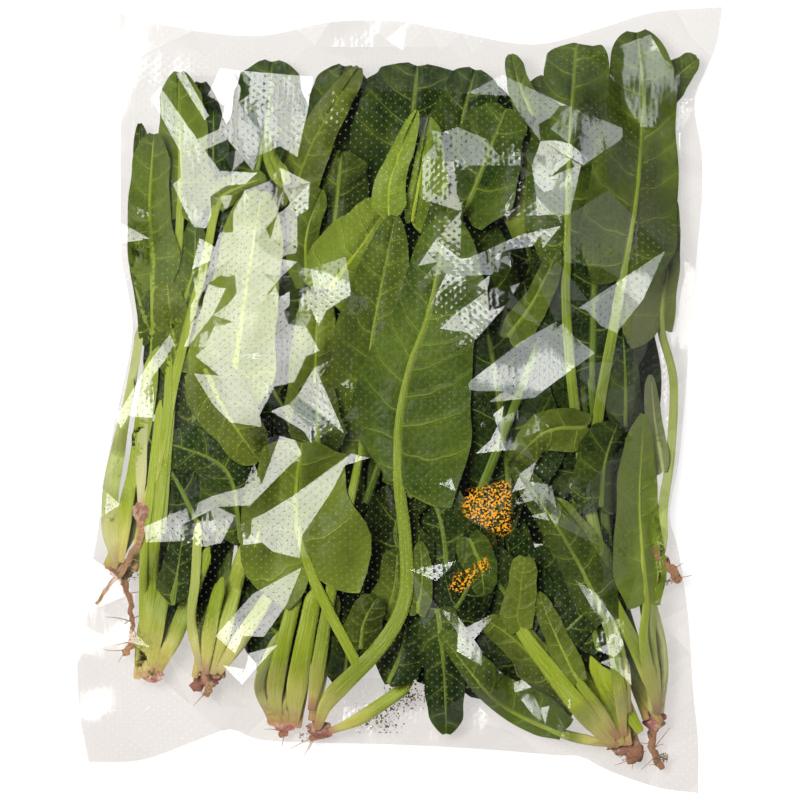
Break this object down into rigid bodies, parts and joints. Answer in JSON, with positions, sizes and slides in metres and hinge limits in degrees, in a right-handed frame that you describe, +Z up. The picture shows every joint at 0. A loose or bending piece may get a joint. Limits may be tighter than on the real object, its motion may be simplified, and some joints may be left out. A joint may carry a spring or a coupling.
{
  "type": "bag of spinach",
  "caption": "Clear perforated film bag packed flat with whole rooted spinach plants, lying on its back.",
  "frame": {"origin": "under the middle of the bag's outline, on the surface that the bag rests on", "axes": "+X across the bag, +Y from the root end to the leaf tips, +Z up through the front sheet"},
  "size_m": [0.292, 0.356, 0.0552],
  "materials": {
    "filled_film": "clear glossy film drawn over green leaves",
    "film": "thin clear film with fine perforations, glossy",
    "leaf": "satin leaf green with paler veins",
    "stalk": "satin yellow-green, paler and pink at the crown",
    "root": "dull tan, with traces of soil"
  },
  "bodies": {
    "root": {"spinach_bag": "filled_film"}
  },
  "joints": []
}
